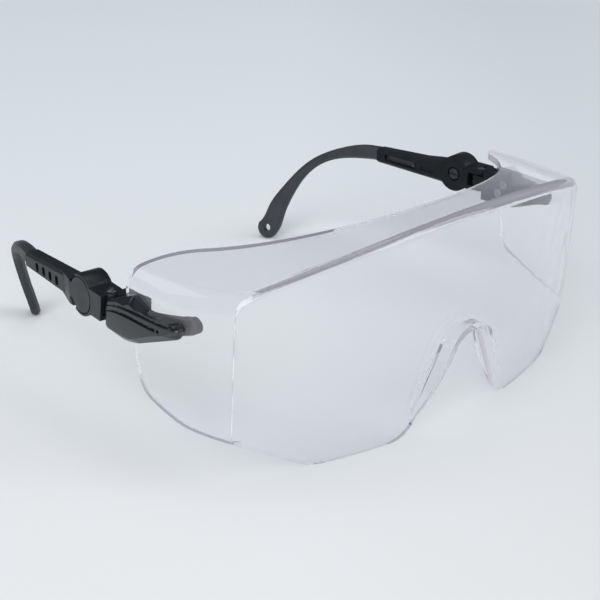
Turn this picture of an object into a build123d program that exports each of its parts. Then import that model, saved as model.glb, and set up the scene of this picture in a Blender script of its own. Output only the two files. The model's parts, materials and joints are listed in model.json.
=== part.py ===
# Wrap-round safety glasses of the fitover kind: clear shield, temples that fold, tilt and slide.
# Frame: +X is the wearer's left, +Y runs back along the temples, +Z is up, z = 0 is the table.
import os
from math import asin, atan2, cos, degrees, hypot, radians, sin, sqrt, tan

from build123d import *

os.makedirs("parts", exist_ok=True)

# Clearances and overruns, mm
overrun = 20.0
seat_gap = 0.05
running_gap = 0.05
slide_gap = 0.1
moving_gap = 0.3

# Shield: outside sizes
wall = 2.1
shield_half_width = 80.3
side_flare = 7.1
front_radius = 160.0
front_rake = 2.7
side_curve_run = 28.3
crease_radius = 2.6
roof_side_inner_radius = 5.5

# Shield: roof, an arch in front that flattens to the rear
roof_front_height = 67.4
roof_front_radius = 225.0
roof_fall = 2.4
roof_rear_radius = 290.0
roof_run = 57.0

# Shield: plan of the roof's rear edge
shelf_depth = 10.4
shelf_radius = 75.0
shelf_turn_inset = 18.8
shelf_end_inset = 3.0
shelf_end_back = 35.2

# Shield: lower edge seen from the front
lobe_outer_inset = 21.6
lobe_inner_half_width = 20.3
lobe_outer_radius = 18.0
lobe_inner_radius = 10.0
side_bottom_height = 11.7
nose_height = 30.6
nose_radius = 8.2

# Shield: lower and rear edge of a side panel, each place as run behind the corner and height
side_low_run = 13.5
side_low_height = 13.2
heel_run = 30.0
heel_height = 19.1
side_rear_run = 32.1
side_rear_height = 30.0
side_top_height = 48.0
side_low_radius = 25.0
heel_radius = 8.0
side_rear_radius = 20.0

# Shield: rim that straddles the pane round the nose
rim_width = 2.0
rim_foot_height = 6.0
rim_middle_height = 18.5
rim_front_proud = 3.1
rim_middle_proud = 2.8
rim_rear_proud = 1.8

# Hinge and tilt joint
hinge_inset = 0.6
hinge_back = 43.0
ear_radius = 3.1
block_bottom = 36.7
block_top = 44.8
ear_thickness = 1.6
hinge_screw_radius = 0.9
hinge_head_radius = 1.45
hinge_head_height = 0.7
hinge_head_sink = 0.4
hinge_nut_across_flats = 2.9
hinge_nut_height = 0.8
temple_toe_in = 5.3
block_outer_reach = 4.6
seam_gap = 0.4
seam_forward = 2.5
fold_relief = 0.6
head_side_gap = 0.15
nut_side_gap = 0.05

# Tilt joint
tilt_back = 9.75
tilt_height = 40.9
drum_radius = 6.3
disc_radius = 5.3
drum_floor = 2.1
tilt_screw_radius = 1.1
tilt_head_radius = 2.0
tilt_head_height = 1.0
tilt_recess_radius = 2.5
tilt_recess_depth = 1.2
tilt_thread_depth = 3.2
washer_thickness = 0.3
washer_inner_radius = 1.4
washer_outer_radius = 3.2
waist_above_axis = 2.3
waist_below_axis = 2.5
tilt_up_stop = 38.0
tilt_down_stop = 31.0

# Slotted screw heads
screw_slot_width = 0.5
screw_slot_depth = 0.35

# Temple sleeve
sleeve_length = 45.5
sleeve_thickness = 5.2
sleeve_centre_reach = 0.67
neck_top = 43.6
neck_bottom = 36.0
sleeve_rear_top = 41.7
sleeve_rear_bottom = 36.5
neck_run = 6.5
neck_taper_run = 5.0
sleeve_chamfer = 0.9
sleeve_corner_radius = 0.8
channel_height = 3.2
channel_width = 2.6
channel_centre_height = 39.2
bump_track_depth = 0.5
bump_height = 0.4
bump_width = 1.0
bump_side_gap = 0.3
bump_length = 1.6
slot_pitch = 4.0
slot_count = 4
slot_width = 1.8
slot_height = 3.1
first_slot_back = 26.2
window_front_back = 27.4
window_height = 2.4
nub_radius = 0.7
nub_side_gap = 0.5
inner_recess_length = 6.4
inner_recess_height = 1.5
inner_recess_depth = 0.4
inner_recess_gap = 2.2
stop_pip_radius = 0.6
stop_pip_height = 0.3
stop_pip_rear_gap = 1.6

# Bracket: cover outside the panel, plate inside it
cover_length = 29.3
cover_base = 33.4
cover_height = 14.9
cover_rear_reach = 4.5
cover_front_thickness = 2.9
cover_seam_lean = 1.2
cover_crown_radius = 40.0
cover_crown_rise = 8.6
cover_bevel = 1.1
cover_bevel_angle = 50.0
cover_corner_radius = 1.2
groove_width = 1.2
groove_depth = 0.7
dimple_radius = 0.55
dimple_gap = 1.1
plate_thickness = 2.0
plate_base = 34.8
plate_length = 29.8
plate_height = 11.7
plate_tip_radius = 2.0
tongue_gap = 0.3
rivet_radius = 0.9
rivet_head_radius = 1.5
rivet_head_height = 0.6
rivet_head_chamfer = 0.35
rivet_reach = 1.2

# Earpiece
shoulder_gap = 0.3
shoulder_centre_height = 39.2
earpiece_thickness = 4.0
paddle_thickness = 3.3
paddle_width = 8.2
paddle_edge_chamfer = 0.95
paddle_rear_reach = 3.8
hook_run = 39.9
paddle_lean = 14.5
paddle_sweep = 19.7
hook_lean = 17.3
hook_sweep = 10.6
lanyard_hole_radius = 1.5
stem_front_back = 24.6

# Driving places worked out from the sizes above
rake_slope = tan(radians(front_rake))
corner_half_width = shield_half_width - side_flare
shelf_turn_half_width = shield_half_width - shelf_turn_inset
shelf_end_half_width = shield_half_width - shelf_end_inset
lobe_outer_half_width = corner_half_width - lobe_outer_inset
hinge_half_width = shield_half_width - hinge_inset
toe = radians(temple_toe_in)
lean_slope = tan(radians(hook_lean))
sweep_slope = tan(radians(hook_sweep))
paddle_back = sleeve_length + shoulder_gap + hook_run
paddle_drift = sweep_slope * hook_run + lean_slope * shoulder_centre_height - sleeve_centre_reach
front_reach = rim_front_proud + rake_slope * (nose_height + rim_width)
corner_depth = front_radius - sqrt(front_radius**2 - corner_half_width**2)
paddle_reach = cos(toe) * paddle_back - sin(toe) * paddle_drift + paddle_rear_reach
overall_length = front_reach + corner_depth + hinge_back + paddle_reach
pane_y = front_reach - overall_length / 2
pane_centre_y = pane_y + front_radius
corner_y = pane_y + corner_depth
hinge_y = corner_y + hinge_back
side_wall_y = corner_y + side_curve_run
bracket_rear_y = hinge_y - ear_radius - fold_relief


def plate_points(shares):
    """Places on the bracket plate, as shares of its length forwards and of its height up."""
    return [(bracket_rear_y - along * plate_length, plate_base + up * plate_height) for along, up in shares]


rivet_shares = ((0.315, 0.65), (0.25, 0.36))
rivet_places = plate_points(rivet_shares)


def pane_face_y(height):
    """Y of the pane's outer face on the middle plane."""
    return pane_y - rake_slope * height


def shield_side_x(y):
    """Half width of the side panels' outer face at one Y, at table level."""
    run = side_wall_y - y
    drop = shield_half_width - corner_half_width
    radius = (side_curve_run**2 + drop**2) / (2 * drop)
    return shield_half_width - radius + sqrt(radius**2 - run**2)


def raked_form(inset):
    """Front pane and side panels as one solid leaning forwards, drawn in by inset."""
    with BuildPart() as form:
        with BuildSketch(Plane((0, pane_y + rake_slope * overrun, -overrun))):
            with BuildLine():
                corner = corner_y - pane_y
                side = side_wall_y - pane_y
                back = overall_length
                ThreePointArc((-corner_half_width, corner), (0, 0), (corner_half_width, corner))
                for sign in (-1, 1):
                    start = (sign * shield_half_width, side)
                    TangentArc(start, (sign * corner_half_width, corner), tangent=(0, -1))
                    Line(start, (sign * shield_half_width, back))
                Line((-shield_half_width, back), (shield_half_width, back))
            make_face()
            if inset != 0:
                offset(amount=-inset, kind=Kind.INTERSECTION, mode=Mode.REPLACE)
        extrude(amount=overrun + overall_length, dir=(0, -rake_slope, 1))
    return form.part


def shield_envelope(inset):
    """Raked form under its roof, with its roof edges rounded, and outside the front creases too."""
    roof_front_y = pane_face_y(roof_front_height)
    fall = roof_fall / roof_run
    bend = (roof_rear_radius - roof_front_radius) / roof_run
    with BuildPart() as envelope:
        add(raked_form(inset))
        with BuildPart(mode=Mode.INTERSECT):
            for run in (-overrun, roof_run + overrun * 2):
                height = roof_front_height - fall * run - inset
                radius = roof_front_radius + bend * run - inset
                half_width = shield_half_width + overrun
                edge_height = height - radius + sqrt(radius**2 - half_width**2)
                with BuildSketch(Plane.XZ.offset(-(roof_front_y + run))):
                    with BuildLine():
                        arch = ThreePointArc((-half_width, edge_height), (0, height), (half_width, edge_height))
                        Polyline(arch @ 0, (-half_width, -overrun * 2), (half_width, -overrun * 2), arch @ 1)
                    make_face()
            loft(ruled=True)
        sides = envelope.edges().filter_by(
            lambda edge: edge.center().Z > side_top_height and abs(edge.center().X) > corner_half_width - wall
        )
        fillet(sides, radius=roof_side_inner_radius + wall - inset)
        if inset == 0:
            front_face = envelope.faces().sort_by(Axis.Y)[0]
            creases = front_face.edges().filter_by(lambda edge: edge.center().Z > 0)
            fillet(creases, radius=crease_radius)
    return envelope.part


def nose_corner_height():
    """Height at which the two straight sides of the nose opening would meet."""
    rise = nose_height - nose_radius
    slant = atan2(rise, lobe_inner_half_width) + asin(nose_radius / hypot(rise, lobe_inner_half_width))
    return lobe_inner_half_width * tan(slant)


# Shield
with BuildPart() as shield:
    add(shield_envelope(0))
    add(shield_envelope(wall), mode=Mode.SUBTRACT)
    # Rear edge of the roof, in plan
    with BuildSketch(Plane.XY):
        with BuildLine():
            shelf_y = pane_y + shelf_depth
            shelf_centre_y = shelf_y + shelf_radius
            turn_y = shelf_centre_y - sqrt(shelf_radius**2 - shelf_turn_half_width**2)
            turn_slope = shelf_turn_half_width / (shelf_centre_y - turn_y)
            end_y = corner_y + shelf_end_back
            side_x = shield_half_width + overrun
            ThreePointArc((-shelf_turn_half_width, turn_y), (0, shelf_y), (shelf_turn_half_width, turn_y))
            for sign in (-1, 1):
                turn = (sign * shelf_turn_half_width, turn_y)
                end = (sign * shelf_end_half_width, end_y)
                TangentArc(turn, end, tangent=(sign, turn_slope))
                Polyline(end, (sign * side_x, end_y), (sign * side_x, overall_length * 2))
            Line((-side_x, overall_length * 2), (side_x, overall_length * 2))
        make_face()
    extrude(amount=roof_front_height + overrun, mode=Mode.SUBTRACT)
    # Lower and rear edge of the side panels, in side view
    with BuildSketch(Plane.YZ.offset(-shield_half_width - overrun)):
        with BuildLine():
            low = (corner_y + side_low_run, side_low_height)
            heel = (corner_y + heel_run, heel_height)
            rear = (corner_y + side_rear_run, side_rear_height)
            top = (corner_y + shelf_end_back, side_top_height)
            edge = FilletPolyline(
                (corner_y, side_bottom_height), low, heel, rear, top,
                radius=(side_low_radius, heel_radius, side_rear_radius),
            )
            far_y = overall_length * 2
            Polyline(edge @ 1, (far_y, side_top_height), (far_y, -overrun * 2))
            Polyline((far_y, -overrun * 2), (corner_y, -overrun * 2), edge @ 0)
        make_face()
    extrude(amount=2 * (shield_half_width + overrun), mode=Mode.SUBTRACT)
    # Rim round the nose, straddling the pane
    rim_top_height = nose_height + rim_width
    with BuildPart(mode=Mode.ADD):
        with BuildSketch(Plane.XZ.offset(-pane_y - overrun)):
            with BuildLine():
                nose_foot = lobe_inner_half_width
                FilletPolyline((nose_foot, 0), (0, nose_corner_height()), (-nose_foot, 0), radius=nose_radius)
                Line((-nose_foot, 0), (nose_foot, 0))
            make_face()
            offset(amount=rim_width, kind=Kind.INTERSECTION, mode=Mode.REPLACE)
        extrude(amount=2 * overrun)
        with BuildSketch(Plane.YZ.offset(-shield_half_width)):
            foot_y = pane_face_y(rim_foot_height) + wall / 2
            middle_y = pane_face_y(rim_middle_height)
            top_y = pane_face_y(rim_top_height)
            with BuildLine():
                rim_front = ThreePointArc(
                    (foot_y, rim_foot_height),
                    (middle_y - rim_middle_proud, rim_middle_height),
                    (top_y - rim_front_proud, rim_top_height),
                )
                rim_rear = ThreePointArc(
                    (foot_y + wall, rim_foot_height),
                    (middle_y + wall + rim_rear_proud, rim_middle_height),
                    (top_y + wall / 2, rim_top_height),
                )
                Line(rim_front @ 0, rim_rear @ 0)
                Line(rim_front @ 1, rim_rear @ 1)
            make_face()
        extrude(amount=2 * shield_half_width, mode=Mode.INTERSECT)
    # Lower edge and nose opening, in front view
    with BuildSketch(Plane.XZ.offset(-corner_y)):
        with BuildLine():
            left_points = [
                (-shield_half_width - overrun, side_bottom_height),
                (-corner_half_width, side_bottom_height),
                (-lobe_outer_half_width, 0),
                (-lobe_inner_half_width, 0),
                (0, nose_corner_height()),
            ]
            right_points = [(-x, z) for x, z in reversed(left_points[:-1])]
            lower_edge = FilletPolyline(
                *left_points, *right_points,
                radius=(0, lobe_outer_radius, lobe_inner_radius, nose_radius)
                + (lobe_inner_radius, lobe_outer_radius, 0),
            )
            side_x = shield_half_width + overrun
            Polyline(lower_edge @ 0, (-side_x, -overrun * 2), (side_x, -overrun * 2), lower_edge @ 1)
        make_face()
    extrude(amount=overall_length, mode=Mode.SUBTRACT)
    # Rivet holes in both side panels
    with BuildSketch(Plane.YZ.offset(-shield_half_width - overrun)):
        with Locations(*rivet_places):
            Circle(rivet_radius + seat_gap)
    extrude(amount=2 * (shield_half_width + overrun), mode=Mode.SUBTRACT)
shield.part.label = "shield"
export_step(shield.part, "parts/shield.step")


# Planes of the left temple: side view (back, up) with its normal outwards, and plan (back, out)
rearward = Vector(-sin(toe), cos(toe), 0)
outward = Vector(cos(toe), sin(toe), 0)
hinge_foot = (hinge_half_width, hinge_y, 0)
temple_side = Plane(hinge_foot, x_dir=rearward, z_dir=outward)
temple_plan = Plane(hinge_foot, x_dir=rearward, z_dir=(0, 0, -1))
hinge_plan = Plane(hinge_foot)

# Levels and reaches that the left-hand pieces share
lower_ear_top = block_bottom + ear_thickness
upper_ear_bottom = block_top - hinge_head_height - hinge_head_sink - ear_thickness / 2
tongue_bottom = lower_ear_top + tongue_gap
tongue_top = upper_ear_bottom - tongue_gap
block_inner_reach = ear_radius
drum_floor_reach = drum_floor - block_inner_reach
knuckle_clear_radius = ear_radius + moving_gap
left_solids = {}


def slotted_screw(plane, head_radius, head_height, shank_radius, shank_length):
    """Screw whose head stands on a plane, with its slot across the head and its shank below."""
    with BuildPart() as screw:
        with BuildSketch(plane):
            Circle(head_radius)
        extrude(amount=head_height)
        with BuildSketch(plane):
            Circle(shank_radius)
        extrude(amount=-shank_length)
        with BuildSketch(plane.offset(head_height - screw_slot_depth)):
            Rectangle(2 * head_radius + screw_slot_width, screw_slot_width)
        extrude(amount=screw_slot_depth, mode=Mode.SUBTRACT)
    return screw.part


# Bracket cover: outside face nearly flat at the rear, drawn in towards its front tip
cover_rear_x = hinge_half_width + cover_rear_reach
cover_rear_y = hinge_y - seam_forward
cover_front_y = cover_rear_y - cover_length
cover_front_x = shield_side_x(cover_front_y) + cover_front_thickness
cover_draw_in = cover_rear_x - cover_front_x
cover_side = Plane(
    (cover_rear_x - cover_bevel, cover_rear_y, 0),
    x_dir=(cover_draw_in, cover_length, 0),
    z_dir=(cover_length, -cover_draw_in, 0),
)


def cover_crown(inset):
    """Barrel that shapes the cover's outer face along its length and from top to bottom, less an inset."""
    plan_radius = (cover_length**2 + cover_draw_in**2) / (2 * cover_draw_in)
    centre = (cover_rear_x - plan_radius, cover_rear_y, cover_base + cover_crown_rise)
    with BuildPart() as crown:
        with BuildSketch(Plane(centre, x_dir=(1, 1, 0), z_dir=(1, -1, 0))):
            with Locations((plan_radius - cover_crown_radius, 0)):
                Circle(cover_crown_radius - inset)
        revolve(axis=Axis(centre, (0, 0, -1)), revolution_arc=90)
    return crown.part


def cover_points(shares):
    """Places in the cover's side view, from shares of its length and height."""
    return [(-along * cover_length, cover_base + up * cover_height) for along, up in shares]


cover_outline_shares = (
    (0, 0.7), (0.37, 1), (0.57, 0.82), (0.96, 0.8), (1, 0.7), (0.95, 0.47), (0.41, 0.05), (0.24, 0), (-0.04, 0.12),
)
cover_corner_shares = (1, 2, 3, 1, 1, 1.5, 8, 8, 1)
upper_groove_shares = ((-0.1, 0.54), (0.21, 0.73), (0.48, 0.73), (0.86, 0.69))
lower_groove_shares = ((-0.1, 0.46), (0.21, 0.6), (0.48, 0.58), (0.7, 0.54))

with BuildPart() as bracket_cover:
    with BuildSketch(cover_side) as cover_outline:
        with BuildLine():
            corner_radii = [share * cover_corner_radius for share in cover_corner_shares]
            FilletPolyline(*cover_points(cover_outline_shares), radius=corner_radii, close=True)
        make_face()
    extrude(amount=-overrun)
    extrude(cover_outline.sketch, amount=2 * cover_bevel, taper=cover_bevel_angle)
    add(cover_crown(0), mode=Mode.INTERSECT)
    add(raked_form(-seat_gap), mode=Mode.SUBTRACT)
    with BuildSketch(hinge_plan):
        Circle(knuckle_clear_radius)
    extrude(amount=overall_length, mode=Mode.SUBTRACT)
    with BuildSketch(Plane.YZ.offset(shield_half_width)):
        with Locations(*rivet_places):
            Circle(rivet_radius + seat_gap)
    extrude(amount=seat_gap + rivet_reach, mode=Mode.SUBTRACT)
    # Two long grooves that close in on each other towards the rear
    with BuildPart(mode=Mode.SUBTRACT):
        for shares in (upper_groove_shares, lower_groove_shares):
            with BuildSketch(cover_side.offset(-overrun)):
                with BuildLine():
                    Spline(*cover_points(shares))
                trace(line_width=groove_width)
            extrude(amount=2 * overrun)
            end_along, end_up = shares[-1]
            with BuildSketch(cover_side.offset(-overrun)):
                with Locations((-end_along * cover_length - dimple_gap, cover_base + end_up * cover_height)):
                    Circle(dimple_radius)
            extrude(amount=2 * overrun)
        add(cover_crown(groove_depth), mode=Mode.SUBTRACT)
left_solids["bracket_cover"] = bracket_cover.part

# Bracket plate inside the panel, with the block behind the panel and the hinge tongue
plate_outline_shares = (
    (0, 0.957), (0.37, 0.957), (0.385, 0.69), (1, 1), (1, 0.62), (0.55, 0.25), (0.27, 0), (0, 0),
)
plate_corner_shares = (0.3, 0.3, 0.3, 1, 1, 4, 4, 0.3)
plate_inset = wall + seat_gap

with BuildPart() as bracket_plate:
    with BuildSketch(Plane.YZ.offset(corner_half_width - overrun)) as plate_outline:
        with BuildLine():
            corner_radii = [share * plate_tip_radius for share in plate_corner_shares]
            FilletPolyline(*plate_points(plate_outline_shares), radius=corner_radii, close=True)
        make_face()
    extrude(amount=2 * overrun)
    add(raked_form(plate_inset), mode=Mode.INTERSECT)
    add(raked_form(plate_inset + plate_thickness), mode=Mode.SUBTRACT)
    block_front_y = corner_y + shelf_end_back + seat_gap
    block_depth = bracket_rear_y - block_front_y
    block_inner_x = shield_half_width - plate_inset - plate_thickness
    with BuildSketch(Plane.YZ.offset(block_inner_x)):
        with Locations((bracket_rear_y, plate_base)):
            block_height = plate_outline_shares[0][1] * plate_height
            Rectangle(block_depth, block_height, align=(Align.MAX, Align.MIN))
    extrude(amount=shield_half_width - block_inner_x)
    with BuildSketch(hinge_plan.offset(tongue_bottom)):
        Circle(ear_radius)
        with Locations((-ear_radius, 0)):
            web_width = shield_half_width - hinge_half_width + ear_radius
            Rectangle(web_width, ear_radius + fold_relief, align=(Align.MIN, Align.MAX))
    extrude(amount=tongue_top - tongue_bottom)
    with BuildSketch(hinge_plan):
        Circle(hinge_screw_radius + running_gap)
    extrude(amount=overall_length, mode=Mode.SUBTRACT)
    with BuildSketch(Plane.YZ):
        with Locations(*rivet_places):
            Circle(rivet_radius + seat_gap)
    extrude(amount=overall_length, mode=Mode.SUBTRACT)
left_solids["bracket_plate"] = bracket_plate.part

# Two rivets from the plate through the panel into the cover
with BuildPart() as bracket_rivets:
    rivet_head_x = block_inner_x - seat_gap
    with BuildSketch(Plane.YZ.offset(rivet_head_x)):
        with Locations(*rivet_places):
            Circle(rivet_radius)
    extrude(amount=shield_half_width + rivet_reach - rivet_head_x)
    with BuildSketch(Plane.YZ.offset(rivet_head_x - rivet_head_height)):
        with Locations(*rivet_places):
            Circle(rivet_head_radius)
    extrude(amount=rivet_head_height)
    head_rims = bracket_rivets.edges().group_by(Axis.X)[0]
    chamfer(head_rims, length=rivet_head_chamfer)
left_solids["bracket_rivets"] = bracket_rivets.part

# Hinge block: two ears round the tongue in front, the tilt housing behind
drum_centre = (tilt_back, tilt_height)
seam_back = seam_gap - seam_forward
pocket_radius = disc_radius + moving_gap
rim_top_angle = degrees(asin(waist_above_axis / pocket_radius)) + tilt_up_stop
rim_bottom_angle = degrees(asin(waist_below_axis / pocket_radius)) + tilt_down_stop


def round_tilt_axis(radius, angle):
    """Place in the temple's side view at an angle above the rearward direction."""
    return (tilt_back + radius * cos(radians(angle)), tilt_height + radius * sin(radians(angle)))


with BuildPart() as hinge_block:
    block_width = block_inner_reach + block_outer_reach
    with BuildSketch(temple_side.offset(-block_inner_reach)):
        with BuildLine():
            Polyline(
                (seam_back, block_top),
                (tilt_back, block_top),
                (tilt_back, block_bottom),
                (seam_back + cover_seam_lean, block_bottom),
                close=True,
            )
        make_face()
        with Locations(drum_centre):
            Circle(drum_radius)
    extrude(amount=block_width)
    # Inner front corner cleared for the tongue's root, then the ears round the screw
    with BuildSketch(temple_plan):
        with Locations((0, shield_half_width - hinge_half_width + moving_gap)):
            Rectangle(overrun, overrun, align=(Align.MAX, Align.MAX))
    extrude(amount=-overall_length, mode=Mode.SUBTRACT)
    with BuildSketch(hinge_plan.offset(block_bottom)):
        Circle(ear_radius)
    extrude(amount=block_top - block_bottom)
    # Slot for the tongue, open towards the wearer
    with BuildSketch(temple_plan.offset(-lower_ear_top)):
        Circle(knuckle_clear_radius)
        slot_reach = ear_radius + fold_relief
        with Locations((0, 0)):
            Rectangle(2 * slot_reach, block_inner_reach + overrun, align=(Align.CENTER, Align.MAX))
    extrude(amount=lower_ear_top - upper_ear_bottom, mode=Mode.SUBTRACT)
    # Pocket for the sleeve's disc, with its rim open to the rear between two stops
    with BuildSketch(temple_side.offset(drum_floor_reach)):
        with Locations(drum_centre):
            Circle(pocket_radius)
        with BuildLine():
            Polyline(
                drum_centre,
                round_tilt_axis(2 * drum_radius, rim_top_angle),
                round_tilt_axis(2 * drum_radius, 0),
                round_tilt_axis(2 * drum_radius, -rim_bottom_angle),
                close=True,
            )
        make_face()
    extrude(amount=block_outer_reach - drum_floor_reach + overrun, mode=Mode.SUBTRACT)
    # Hinge screw's hole and counterbore, and the nut's pocket below
    with BuildSketch(hinge_plan):
        Circle(hinge_screw_radius + running_gap)
    extrude(amount=overall_length, mode=Mode.SUBTRACT)
    with BuildSketch(hinge_plan.offset(block_top)):
        Circle(hinge_head_radius + head_side_gap)
    extrude(amount=-hinge_head_height - hinge_head_sink, mode=Mode.SUBTRACT)
    with BuildSketch(hinge_plan.offset(block_bottom)):
        RegularPolygon(hinge_nut_across_flats / 2 + nut_side_gap, 6, major_radius=False)
    extrude(amount=hinge_nut_height + seat_gap, mode=Mode.SUBTRACT)
    # Tilt screw's recess and hole
    with BuildSketch(temple_side.offset(-block_inner_reach)):
        with Locations(drum_centre):
            Circle(tilt_recess_radius)
    extrude(amount=tilt_recess_depth, mode=Mode.SUBTRACT)
    with BuildSketch(temple_side.offset(-block_inner_reach)):
        with Locations(drum_centre):
            Circle(tilt_screw_radius + running_gap)
    extrude(amount=block_width, mode=Mode.SUBTRACT)
left_solids["hinge_block"] = hinge_block.part

# Screws, nut and spring washer
head_seat = block_top - hinge_head_height - hinge_head_sink + seat_gap
left_solids["hinge_screw"] = slotted_screw(
    hinge_plan.offset(head_seat),
    hinge_head_radius,
    hinge_head_height,
    hinge_screw_radius,
    head_seat - block_bottom - hinge_head_sink,
)

with BuildPart() as hinge_nut:
    with BuildSketch(hinge_plan.offset(block_bottom)):
        RegularPolygon(hinge_nut_across_flats / 2, 6, major_radius=False)
        Circle(hinge_screw_radius + running_gap, mode=Mode.SUBTRACT)
    extrude(amount=hinge_nut_height)
left_solids["hinge_nut"] = hinge_nut.part

disc_inner_reach = drum_floor_reach + washer_thickness + 2 * seat_gap
with BuildPart() as tilt_washer:
    with BuildSketch(temple_side.offset(drum_floor_reach + seat_gap)):
        with Locations(drum_centre):
            Circle(washer_outer_radius)
            Circle(washer_inner_radius, mode=Mode.SUBTRACT)
    extrude(amount=washer_thickness)
left_solids["tilt_washer"] = tilt_washer.part

tilt_head_seat = tilt_recess_depth - block_inner_reach - running_gap
tilt_screw_plane = Plane(
    temple_side.from_local_coords((tilt_back, tilt_height, tilt_head_seat)),
    x_dir=rearward,
    z_dir=-outward,
)
left_solids["tilt_screw"] = slotted_screw(
    tilt_screw_plane,
    tilt_head_radius,
    tilt_head_height,
    tilt_screw_radius,
    disc_inner_reach + tilt_thread_depth - tilt_head_seat,
)

# Temple sleeve: disc in the housing, neck, and the hollow part that holds the earpiece's stem
sleeve_inner_reach = sleeve_centre_reach - sleeve_thickness / 2
sleeve_outer_reach = sleeve_centre_reach + sleeve_thickness / 2
channel_inner_reach = sleeve_centre_reach - channel_width / 2
channel_outer_reach = sleeve_centre_reach + channel_width / 2
slide_travel = slot_pitch * (slot_count - 1)
neck_end = tilt_back + neck_run
slot_backs = [first_slot_back + slot_pitch * i for i in range(slot_count)]
nub_back = window_front_back + nub_side_gap + nub_radius

with BuildPart() as temple_sleeve:
    with BuildSketch(temple_plan):
        with BuildLine():
            Polyline(
                (tilt_back, sleeve_inner_reach),
                (sleeve_length, sleeve_inner_reach),
                (sleeve_length, sleeve_outer_reach),
                (neck_end + neck_taper_run, sleeve_outer_reach),
                (neck_end, block_outer_reach),
                (tilt_back, block_outer_reach),
                close=True,
            )
        make_face()
    extrude(amount=-overall_length)
    with BuildSketch(temple_side.offset(-overrun)):
        with BuildLine():
            Polyline(
                (tilt_back, neck_top),
                (neck_end, neck_top),
                (sleeve_length, sleeve_rear_top),
                (sleeve_length, sleeve_rear_bottom),
                (neck_end, neck_bottom),
                (tilt_back, neck_bottom),
                close=True,
            )
        make_face()
    extrude(amount=2 * overrun, mode=Mode.INTERSECT)
    long_edges = temple_sleeve.edges().filter_by(lambda edge: edge.length > sleeve_length / 2)
    chamfer(long_edges, length=sleeve_chamfer)
    with BuildSketch(temple_side.offset(disc_inner_reach)):
        with Locations(drum_centre):
            Circle(drum_radius + moving_gap)
    extrude(amount=-overrun, mode=Mode.SUBTRACT)
    with BuildSketch(temple_side.offset(disc_inner_reach)):
        with Locations(drum_centre):
            Circle(disc_radius)
    extrude(amount=block_outer_reach - disc_inner_reach)
    with BuildSketch(temple_side.offset(disc_inner_reach)):
        with Locations(drum_centre):
            Circle(tilt_screw_radius + seat_gap)
    extrude(amount=tilt_thread_depth + seat_gap, mode=Mode.SUBTRACT)
    # Notches above and below the neck's waist, where the housing's rim swings in
    with BuildPart(mode=Mode.SUBTRACT):
        with BuildSketch(temple_side.offset(disc_inner_reach)):
            with Locations(drum_centre):
                Circle(drum_radius + moving_gap)
                Circle(disc_radius, mode=Mode.SUBTRACT)
            with Locations((tilt_back, tilt_height - waist_below_axis)):
                waist_height = waist_above_axis + waist_below_axis
                Rectangle(overrun, waist_height, align=(Align.MIN, Align.MIN), mode=Mode.SUBTRACT)
        extrude(amount=overrun)
    # Channel for the stem, with the track that its bump runs in
    with BuildSketch(temple_side.offset(channel_inner_reach)):
        with Locations((stem_front_back - moving_gap, channel_centre_height)):
            Rectangle(sleeve_length, channel_height, align=(Align.MIN, Align.CENTER))
    extrude(amount=channel_width, mode=Mode.SUBTRACT)
    with BuildSketch(temple_side.offset(channel_outer_reach)):
        with Locations((first_slot_back - bump_width, channel_centre_height)):
            track_length = slide_travel + 2 * bump_width
            Rectangle(track_length, bump_length + 2 * bump_side_gap, align=(Align.MIN, Align.CENTER))
    extrude(amount=bump_track_depth, mode=Mode.SUBTRACT)
    # Oval slots outside, window inside
    with BuildSketch(temple_side.offset(channel_outer_reach)):
        with Locations(*[(back, channel_centre_height) for back in slot_backs]):
            SlotOverall(slot_height, slot_width, rotation=90)
    extrude(amount=sleeve_thickness, mode=Mode.SUBTRACT)
    with BuildSketch(temple_side.offset(channel_inner_reach)):
        window_length = slide_travel + 2 * (nub_radius + nub_side_gap)
        with Locations((window_front_back + window_length / 2, channel_centre_height)):
            RectangleRounded(window_length, window_height, window_height / 3)
    extrude(amount=-sleeve_thickness, mode=Mode.SUBTRACT)
    # Shallow recess in front of the window, and a pip behind it
    with BuildSketch(temple_side.offset(sleeve_inner_reach)):
        recess_back = window_front_back - inner_recess_gap - inner_recess_length / 2
        with Locations((recess_back, channel_centre_height)):
            RectangleRounded(inner_recess_length, inner_recess_height, inner_recess_height / 3)
    extrude(amount=inner_recess_depth, mode=Mode.SUBTRACT)
    with BuildSketch(temple_side.offset(sleeve_inner_reach)):
        with Locations((sleeve_length - stop_pip_rear_gap, channel_centre_height)):
            Circle(stop_pip_radius)
    extrude(amount=-stop_pip_height)
left_solids["temple_sleeve"] = temple_sleeve.part

# Earpiece: centre line in shares of its run back and its drop, and depth in shares of the paddle's width
earpiece_station_shares = (
    (0, 0, 0.61),
    (0.12, 0.005, 0.6),
    (0.235, 0.024, 0.57),
    (0.362, 0.06, 0.49),
    (0.514, 0.128, 0.42),
    (0.678, 0.255, 0.4),
    (0.8, 0.43, 0.49),
    (0.882, 0.605, 0.66),
    (0.942, 0.785, 0.84),
    (1, 1, 1),
)
full_lean_share = 0.3
paddle_slopes = rearward * tan(radians(paddle_sweep)) - Vector(0, 0, tan(radians(paddle_lean)))
paddle_normal = (outward + paddle_slopes).normalized()
paddle_tilt = asin(-paddle_normal.Z)
paddle_centre_height = (
    paddle_width / 2 * cos(paddle_tilt) + (paddle_thickness / 2 - paddle_edge_chamfer) * sin(paddle_tilt)
)
shoulder_back = sleeve_length + shoulder_gap
earpiece_drop = shoulder_centre_height - paddle_centre_height


def earpiece_place(along, down):
    """Point of the earpiece's centre line, which drifts inwards as it runs back and drops."""
    back = along * hook_run
    drop = down * earpiece_drop
    reach = sleeve_centre_reach - sweep_slope * back - lean_slope * drop
    return temple_side.from_local_coords((shoulder_back + back, shoulder_centre_height - drop, reach))


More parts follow.
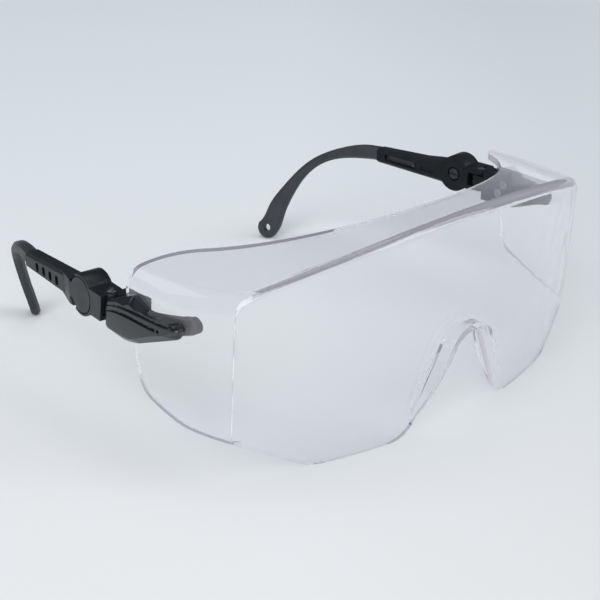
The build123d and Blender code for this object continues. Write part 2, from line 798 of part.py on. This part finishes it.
with BuildPart() as earpiece:
    places = [earpiece_place(along, down) for along, down, depth in earpiece_station_shares]
    centre_line = Edge.make_spline(places, tangents=(rearward, places[-1] - places[-2]))
    for place, (along, down, depth) in zip(places, earpiece_station_shares):
        forward = centre_line.tangent_at(centre_line.param_at_point(place))
        lean_share = min(1, down / full_lean_share)
        normal = outward * (1 - lean_share) + paddle_normal * lean_share
        thickness = earpiece_thickness + (paddle_thickness - earpiece_thickness) * along
        section = Plane(place, x_dir=normal.cross(forward), z_dir=forward)
        with BuildSketch(section) as outline:
            Rectangle(depth * paddle_width, thickness)
            chamfer(outline.vertices(), length=paddle_edge_chamfer)
    loft()
    with BuildSketch(section) as outline:
        Rectangle(paddle_width, paddle_thickness)
        chamfer(outline.vertices(), length=paddle_edge_chamfer)
        Rectangle(paddle_width, paddle_width, align=(Align.MIN, Align.CENTER), mode=Mode.SUBTRACT)
    revolve(axis=Axis(places[-1], section.y_dir), revolution_arc=180)
    hole_plane = Plane(places[-1], z_dir=paddle_normal)
    with BuildSketch(hole_plane.offset(-paddle_width)):
        Circle(lanyard_hole_radius)
    extrude(amount=2 * paddle_width, mode=Mode.SUBTRACT)
    # Stem in the sleeve's channel, its bump behind the slots and its nub in the window
    stem_width = channel_width - 2 * slide_gap
    with BuildSketch(temple_side.offset(channel_inner_reach + slide_gap)):
        with Locations((stem_front_back, channel_centre_height)):
            stem_length = shoulder_back - stem_front_back + shoulder_gap
            Rectangle(stem_length, channel_height - 2 * slide_gap, align=(Align.MIN, Align.CENTER))
    extrude(amount=stem_width)
    with BuildSketch(temple_side.offset(channel_outer_reach - slide_gap)):
        with Locations((first_slot_back, channel_centre_height)):
            Rectangle(bump_width, bump_length)
    extrude(amount=bump_height)
    with BuildSketch(temple_side.offset(channel_inner_reach + slide_gap)):
        with Locations((nub_back, channel_centre_height)):
            Circle(nub_radius)
    extrude(amount=sleeve_inner_reach - channel_inner_reach)
left_solids["earpiece"] = earpiece.part

for name, solid in left_solids.items():
    for side, piece in (("left", solid), ("right", mirror(solid, about=Plane.YZ))):
        piece.label = f"{side}_{name}"
        export_step(piece, f"parts/{side}_{name}.step")
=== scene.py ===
# Clear wrap-round safety glasses of the fitover kind, standing on a pale table under soft studio light.
from math import cos, radians, sin

import bpy
from mathutils import Matrix, Vector
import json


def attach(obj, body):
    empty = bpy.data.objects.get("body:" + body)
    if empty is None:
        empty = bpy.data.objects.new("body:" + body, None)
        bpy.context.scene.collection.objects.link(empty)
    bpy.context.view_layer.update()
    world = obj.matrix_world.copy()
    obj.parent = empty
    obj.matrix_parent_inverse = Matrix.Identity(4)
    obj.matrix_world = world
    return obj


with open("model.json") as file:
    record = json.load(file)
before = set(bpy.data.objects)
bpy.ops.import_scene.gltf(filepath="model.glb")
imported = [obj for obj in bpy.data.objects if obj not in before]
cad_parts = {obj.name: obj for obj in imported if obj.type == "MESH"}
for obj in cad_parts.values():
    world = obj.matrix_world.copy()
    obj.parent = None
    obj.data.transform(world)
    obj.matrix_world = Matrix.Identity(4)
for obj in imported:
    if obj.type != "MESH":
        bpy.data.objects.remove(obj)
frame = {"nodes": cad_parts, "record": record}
nodes = frame["nodes"]
subparts = frame["record"]["subparts"]
scene = bpy.context.scene
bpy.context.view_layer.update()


# Named values, in metres, degrees and linear colours unless they say otherwise

# Most of a noise texture's values lie between these two
noise_low = 0.3
noise_high = 0.7

# Scales of the noise textures, in waves per metre, from slow to fine
flow_scale = 14
cloud_scale = 120
streak_scale = 160
smear_scale = 260
haze_scale = 300
wear_scale = 900
grain_scale = 2600

# Surfaces
plastic_ior = 1.5
inward_face = -0.2
outward_face = 0.7
flow_relief = 0.00004
wear_relief = 0.00002

# Light in the clear wall and its painted glow: how fast light fades per metre, which is also the glow's strength,
# and the tone that the glow brings it to
clear_fade_and_glow = 40.0
painted_glow_tone = (0.63, 0.63, 0.7)

# Light that each clear face lets through to the table, at two shares of light reflected
face_on_reflection = 0.04
grazing_reflection = 0.4
face_on_shadow = (0.992, 0.995, 0.998)
grazing_shadow = (0.7, 0.73, 0.76)

# Small moulded radii on the edges of the black parts and the screws
edge_radii = {"black_plastic": 0.00022, "screw_steel": 0.00008}
weld_distance = 0.000005
sharp_edge_angle = 35

# Painted highlight line down each front corner of the shield, for the wearer's left
line_radius = 0.0001
line_x = 0.0731
line_foot_y = -0.0545
line_foot_z = 0.0121
line_lean = -0.0475
line_step = 0.0025
line_steps = 15
turn_start_y = -0.0563
turn_start_z = 0.0486
turn_radius = 0.0076
turn_sweep = 0.0042
turn_angles = (0.2, 0.4, 0.6, 0.8, 1.0)  # radians

# Table: its painted light and shade, as tones along the view and their fall to the right, each with the distances
# where it starts and ends
table_size = 6
view_direction = (0.69, 0.72, 0)
right_direction = (0.727, -0.686, 0)
near_tone = (0.78, 0.79, 0.796)
far_tone = (0.732, 0.782, 0.797)
tone_range = (-0.14, 0.2)
right_painted_shade = 0.91
right_range = (0.0, 0.13)
fade_out_range = (0.52, 0.95)

# Colour sockets of a mix node, which come after those of its other types
mix_factor = 0
mix_first = 6
mix_second = 7
mix_result = 2

# Room and backdrop, each from its tone at the horizon to its tone overhead
backdrop_tone = (0.72, 0.77, 0.79)
room_tones = ((0.26, 0.27, 0.29), (0.08, 0.095, 0.12))
through_tones = ((0.62, 0.66, 0.7), (0.36, 0.36, 0.43))
steady_height = 0.6

# Lamps: name, place, aim, size and power in watts
lamps = (
    ("key_softbox", (-1.9, -1.3, 1.7), (0, 0, 0), (2.4, 2.2), 68.0),
    ("fill_softbox", (1.3, -1.9, 1.6), (0, 0, 0), (2.2, 2.0), 38.0),
    ("overhead_softbox", (0.2, 0.3, 2.4), (0.1, 0.1, 0), (1.8, 1.8), 15.0),
    ("back_softbox", (-1.2, 1.9, 1.8), (0, 0, 0), (1.6, 1.2), 7.0),
)

# Camera, as solved from the photograph, with its sensor and lens in millimetres
camera_place = (-0.2814, -0.30127, 0.2022)
camera_yaw = 43.33
camera_pitch = 24.53
camera_roll = 0.83
camera_sensor = 36
camera_lens = 82.44
camera_shift = (0.0013, -0.0005)
camera_clip = 0.01


# Node helpers

def link(tree, source, output, target, socket):
    tree.links.new(source.outputs[output], target.inputs[socket])


def new_material(name):
    material = bpy.data.materials.new(name)
    material.use_nodes = True
    tree = material.node_tree
    return material, tree, tree.nodes["Principled BSDF"]


def noise(tree, scale, detail, roughness=0.55):
    place = tree.nodes.new("ShaderNodeTexCoord")
    texture = tree.nodes.new("ShaderNodeTexNoise")
    texture.inputs["Scale"].default_value = scale
    texture.inputs["Detail"].default_value = detail
    texture.inputs["Roughness"].default_value = roughness
    link(tree, place, "Object", texture, "Vector")
    return texture


def ramp(tree, source, output, low, high, start=noise_low, end=noise_high):
    """Colour that runs from low to high as the source goes from start to end."""
    node = tree.nodes.new("ShaderNodeValToRGB")
    first, last = node.color_ramp.elements
    first.position, first.color = start, (*low, 1)
    last.position, last.color = end, (*high, 1)
    link(tree, source, output, node, "Fac")
    return node


def spread(tree, source, output, low, high, start=noise_low, end=noise_high):
    """Number that runs from low to high as the source goes from start to end."""
    node = tree.nodes.new("ShaderNodeMapRange")
    node.inputs["From Min"].default_value = start
    node.inputs["From Max"].default_value = end
    node.inputs["To Min"].default_value = low
    node.inputs["To Max"].default_value = high
    link(tree, source, output, node, "Value")
    return node


def arithmetic(tree, operation, *terms):
    """Math node whose terms are numbers, or pairs of a node and its output."""
    node = tree.nodes.new("ShaderNodeMath")
    node.operation = operation
    for socket, term in enumerate(terms):
        if isinstance(term, tuple):
            link(tree, *term, node, socket)
        else:
            node.inputs[socket].default_value = term
    return node


def along(tree, place, direction):
    """Distance of a point from the origin along a direction."""
    node = tree.nodes.new("ShaderNodeVectorMath")
    node.operation = "DOT_PRODUCT"
    node.inputs[1].default_value = direction
    link(tree, place, "Object", node, 0)
    return node


def ray_mix(tree, path, kind, source, output):
    """Colour mix whose first colour is linked, and whose second is seen by one kind of ray."""
    node = tree.nodes.new("ShaderNodeMix")
    node.data_type = "RGBA"
    link(tree, path, kind, node, mix_factor)
    link(tree, source, output, node, mix_first)
    return node


def surface_mix(tree, factor, first, second):
    """Material's surface, mixed from two shaders that are given as pairs of a node and its output."""
    node = tree.nodes.new("ShaderNodeMixShader")
    for socket, source in enumerate((factor, first, second)):
        link(tree, *source, node, socket)
    link(tree, node, "Shader", tree.nodes["Material Output"], "Surface")


def textured(tree, shader, tone_noise, tones, gloss_noise, roughness, relief_noise, depth, strength):
    """Give a surface its uneven tone, gloss and relief, each from a noise."""
    tone = ramp(tree, tone_noise, "Fac", *tones)
    link(tree, tone, "Color", shader, "Base Color")
    gloss = spread(tree, gloss_noise, "Fac", *roughness)
    link(tree, gloss, "Result", shader, "Roughness")
    relief = tree.nodes.new("ShaderNodeBump")
    relief.inputs["Strength"].default_value = strength
    relief.inputs["Distance"].default_value = depth
    link(tree, relief_noise, "Fac", relief, "Height")
    link(tree, relief, "Normal", shader, "Normal")


# Materials

def outwardness(tree):
    """1 on faces that look away from the wearer's head, -1 on those that look towards it."""
    place = tree.nodes.new("ShaderNodeTexCoord")
    where = tree.nodes.new("ShaderNodeSeparateXYZ")
    link(tree, place, "Object", where, "Vector")
    facing = tree.nodes.new("ShaderNodeSeparateXYZ")
    link(tree, place, "Normal", facing, "Vector")
    side = arithmetic(tree, "SIGN", (where, "X"))
    return arithmetic(tree, "MULTIPLY", (side, "Value"), (facing, "X"))


def moulded_plastic(name, tones, roughness, grain_depth, inner_painted_shine, outer_painted_shine):
    """Black moulding: spark-eroded grain, slow changes of tone and gloss, and a shine of its own inside and out,
    which also paints light and shade on the faces towards and away from the wearer.
    """
    material, tree, shader = new_material(name)
    cloud = noise(tree, cloud_scale, 4)
    smear = noise(tree, smear_scale, 3)
    grain = noise(tree, grain_scale, 2, 0.7)
    textured(tree, shader, cloud, tones, smear, roughness, grain, grain_depth, 0.6)
    shader.inputs["IOR"].default_value = plastic_ior
    # Painted light and shade: faces towards the wearer's head reflect with another strength than those looking away
    shine = spread(tree, outwardness(tree), "Value", inner_painted_shine, outer_painted_shine, inward_face, outward_face)
    link(tree, shine, "Result", shader, "Specular IOR Level")
    return material


def clear_moulding(name):
    """Optically clear polycarbonate with a faint flow ripple, the cool tint of its thickness, and a painted violet
    grey glow inside its wall.
    """
    material, tree, shader = new_material(name)
    flow = noise(tree, flow_scale, 2, 0.4)
    haze = noise(tree, haze_scale, 3)
    tones = ((0.985, 0.99, 0.994), (0.992, 0.996, 1.0))
    textured(tree, shader, flow, tones, haze, (0.0, 0.02), flow, flow_relief, 0.4)
    shader.inputs["IOR"].default_value = plastic_ior
    shader.inputs["Transmission Weight"].default_value = 1.0
    # Lamps shine through to the table, a little weaker for each face that their light crosses, more where it grazes
    path = tree.nodes.new("ShaderNodeLightPath")
    graze = tree.nodes.new("ShaderNodeFresnel")
    graze.inputs["IOR"].default_value = plastic_ior
    kept = ramp(tree, graze, "Fac", face_on_shadow, grazing_shadow, face_on_reflection, grazing_reflection)
    open_face = tree.nodes.new("ShaderNodeBsdfTransparent")
    link(tree, kept, "Color", open_face, "Color")
    surface_mix(tree, (path, "Is Shadow Ray"), (shader, "BSDF"), (open_face, "BSDF"))
    # Along the inside of the wall, light fades and the wall itself glows a violet grey, a painted glow that shows
    # in its edges and creases
    fade = tree.nodes.new("ShaderNodeVolumeAbsorption")
    fade.inputs["Color"].default_value = (0, 0, 0, 1)
    fade.inputs["Density"].default_value = clear_fade_and_glow
    glow = tree.nodes.new("ShaderNodeEmission")
    glow.inputs["Color"].default_value = (*painted_glow_tone, 1)
    glow.inputs["Strength"].default_value = clear_fade_and_glow
    inside = tree.nodes.new("ShaderNodeAddShader")
    link(tree, fade, "Volume", inside, 0)
    link(tree, glow, "Emission", inside, 1)
    link(tree, inside, "Shader", tree.nodes["Material Output"], "Volume")
    return material


def turned_steel(name, tones):
    """Screw steel with its plating or blacking: fine turning lines and small bright scratches."""
    material, tree, shader = new_material(name)
    wear = noise(tree, wear_scale, 4)
    textured(tree, shader, wear, tones, wear, (0.2, 0.38), wear, wear_relief, 0.5)
    shader.inputs["Metallic"].default_value = 1.0
    return material


def glint_line_paint(name):
    """Thin line with painted highlights, pale in places and grey between, standing in for the glint of the shield's
    corner crease.
    """
    material, tree, shader = new_material(name)
    streak = noise(tree, streak_scale, 3)
    # Painted highlights: pale where the line seems to catch the light, grey between
    tone = ramp(tree, streak, "Fac", (0.36, 0.38, 0.42), (0.86, 0.88, 0.91), 0.42, 0.58)
    link(tree, tone, "Color", shader, "Base Color")
    shader.inputs["Roughness"].default_value = 0.4
    return material


def table_paint(name):
    """Matt table whose tone, with painted light and shade in it, follows the photograph's, and which passes into
    the pale backdrop far off.
    """
    material, tree, shader = new_material(name)
    place = tree.nodes.new("ShaderNodeTexCoord")
    # Painted light and shade: the table's tone changes along the view and darkens to the right
    depth = spread(tree, along(tree, place, view_direction), "Value", 0.0, 1.0, *tone_range)
    tone = ramp(tree, depth, "Result", near_tone, far_tone, 0.0, 1.0)
    fall = spread(tree, along(tree, place, right_direction), "Value", 1.0, right_painted_shade, *right_range)
    shade = tree.nodes.new("ShaderNodeVectorMath")
    shade.operation = "SCALE"
    link(tree, tone, "Color", shade, 0)
    link(tree, fall, "Result", shade, "Scale")
    link(tree, shade, "Vector", shader, "Base Color")
    shader.inputs["Roughness"].default_value = 0.9
    shader.inputs["Specular IOR Level"].default_value = 0.1
    # The backdrop's tone is only seen: the light that the table throws on the object stays its own
    reach = tree.nodes.new("ShaderNodeVectorMath")
    reach.operation = "LENGTH"
    link(tree, place, "Object", reach, 0)
    gone = spread(tree, reach, "Value", 0.0, 1.0, *fade_out_range)
    path = tree.nodes.new("ShaderNodeLightPath")
    shown = arithmetic(tree, "SUBTRACT", 1.0, (path, "Is Diffuse Ray"))
    share = arithmetic(tree, "MULTIPLY", (gone, "Result"), (shown, "Value"))
    backdrop = tree.nodes.new("ShaderNodeEmission")
    backdrop.inputs["Color"].default_value = (*backdrop_tone, 1)
    surface_mix(tree, (share, "Value"), (shader, "BSDF"), (backdrop, "Emission"))
    return material


# Looks of the modelled pieces
paints = {
    "clear_shield": clear_moulding("clear_polycarbonate"),
    "black_plastic": moulded_plastic(
        "satin_black_plastic",
        tones=((0.005, 0.0065, 0.0085), (0.009, 0.0115, 0.0145)),
        roughness=(0.34, 0.46),
        grain_depth=0.00003,
        inner_painted_shine=0.16,
        outer_painted_shine=0.5,
    ),
    "soft_black": moulded_plastic(
        "soft_black_plastic",
        tones=((0.016, 0.019, 0.023), (0.026, 0.03, 0.035)),
        roughness=(0.4, 0.52),
        grain_depth=0.00003,
        inner_painted_shine=0.6,
        outer_painted_shine=0.3,
    ),
    "screw_steel": turned_steel("plated_steel", tones=((0.5, 0.51, 0.53), (0.72, 0.72, 0.73))),
}
side_paints = {
    "bracket_cover": moulded_plastic(
        "glossy_black_plastic",
        tones=((0.007, 0.009, 0.011), (0.01, 0.0125, 0.015)),
        roughness=(0.15, 0.19),
        grain_depth=0.000002,
        inner_painted_shine=0.55,
        outer_painted_shine=0.7,
    ),
    "tilt_screw": turned_steel("blackened_steel", tones=((0.03, 0.035, 0.045), (0.07, 0.075, 0.09))),
    "bracket_rivets": turned_steel("dull_steel", tones=((0.16, 0.165, 0.175), (0.3, 0.305, 0.315))),
}

for row in subparts:
    piece = nodes[row["node"]]
    slot = row["material_slot"]
    piece.data.materials.clear()
    piece.data.materials.append(paints[slot])
    if slot in edge_radii:
        weld = piece.modifiers.new("weld", "WELD")
        weld.merge_threshold = weld_distance
        bevel = piece.modifiers.new("edge_radius", "BEVEL")
        bevel.width = edge_radii[slot]
        bevel.segments = 2
        bevel.limit_method = "ANGLE"
        bevel.angle_limit = radians(sharp_edge_angle)
        bevel.harden_normals = True
for side in ("left", "right"):
    for part, paint in side_paints.items():
        nodes[f"{side}_{part}"].data.materials[0] = paint

# Painted highlight line, fine and pale, down each front corner of the shield and over into its roof, in place of
# the corner crease's glint
marks = [
    (line_x, line_foot_y + line_lean * step * line_step, line_foot_z + line_step * step)
    for step in range(line_steps)
]
marks += [
    (
        line_x - turn_radius * (1 - cos(turn)),
        turn_start_y - turn_sweep * (1 - cos(turn)),
        turn_start_z + turn_radius * sin(turn),
    )
    for turn in turn_angles
]
glint_paint = glint_line_paint("painted_glint_line")
for side, sign in (("left", 1), ("right", -1)):
    curve = bpy.data.curves.new(side + "_corner_glint_line", "CURVE")
    curve.dimensions = "3D"
    curve.bevel_depth = line_radius
    curve.bevel_resolution = 1
    curve.use_fill_caps = True
    line = curve.splines.new("POLY")
    line.points.add(len(marks) - 1)
    for point, (x, y, z) in zip(line.points, marks):
        _, place, _, _ = nodes["shield"].closest_point_on_mesh(Vector((sign * x, y, z)))
        point.co = (*place, 1)
    glint_line = bpy.data.objects.new(side + "_corner_glint_line", curve)
    glint_line.data.materials.append(glint_paint)
    scene.collection.objects.link(glint_line)
    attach(glint_line, "shield")

# The table is lit through the clear shield by its shadow rays alone
nodes["shield"].visible_diffuse = False

# Pale table
bpy.ops.mesh.primitive_plane_add(size=table_size, location=(0, 0, 0))
table = bpy.context.object
table.name = "table"
table.data.materials.append(table_paint("pale_table"))

# World: a dim room, with a pale backdrop for the camera and through the clear shield
world = bpy.data.worlds.new("studio")
world.use_nodes = True
scene.world = world
sky = world.node_tree
ray = sky.nodes.new("ShaderNodeTexCoord")
direction = sky.nodes.new("ShaderNodeSeparateXYZ")
link(sky, ray, "Generated", direction, "Vector")
height = spread(sky, direction, "Z", 0.0, 1.0, 0.0, steady_height)
room = ramp(sky, height, "Result", *room_tones, 0.0, 0.5)
through_shield = ramp(sky, height, "Result", *through_tones, 0.0, 1.0)
path = sky.nodes.new("ShaderNodeLightPath")
around = ray_mix(sky, path, "Is Transmission Ray", room, "Color")
link(sky, through_shield, "Color", around, mix_second)
seen = ray_mix(sky, path, "Is Camera Ray", around, mix_result)
seen.inputs[mix_second].default_value = (*backdrop_tone, 1)
background = sky.nodes["Background"]
link(sky, seen, mix_result, background, "Color")
background.inputs["Strength"].default_value = 1.0

# Soft lamps, which the clear shield's edges don't pick up
for name, place, aim, (width, depth), power in lamps:
    data = bpy.data.lights.new(name, "AREA")
    data.shape = "RECTANGLE"
    data.size, data.size_y = width, depth
    data.energy = power
    lamp = bpy.data.objects.new(name, data)
    scene.collection.objects.link(lamp)
    lamp.location = place
    lamp.rotation_euler = (Vector(aim) - Vector(place)).to_track_quat("-Z", "Y").to_euler()
    lamp.visible_transmission = False

# Camera
yaw, pitch, roll = radians(camera_yaw), radians(camera_pitch), radians(camera_roll)
forward = Vector((sin(yaw) * cos(pitch), cos(yaw) * cos(pitch), -sin(pitch)))
level = forward.cross(Vector((0, 0, 1))).normalized()
upright = level.cross(forward)
right = cos(roll) * level + sin(roll) * upright
up = cos(roll) * upright - sin(roll) * level
axes = Matrix((right, up, -forward)).transposed()
camera_data = bpy.data.cameras.new("camera")
camera_data.sensor_fit = "HORIZONTAL"
camera_data.sensor_width = camera_sensor
camera_data.lens = camera_lens
camera_data.shift_x, camera_data.shift_y = camera_shift
camera_data.clip_start = camera_clip
camera = bpy.data.objects.new("camera", camera_data)
scene.collection.objects.link(camera)
camera.matrix_world = Matrix.Translation(camera_place) @ axes.to_4x4()
scene.camera = camera

scene.view_settings.view_transform = "Standard"
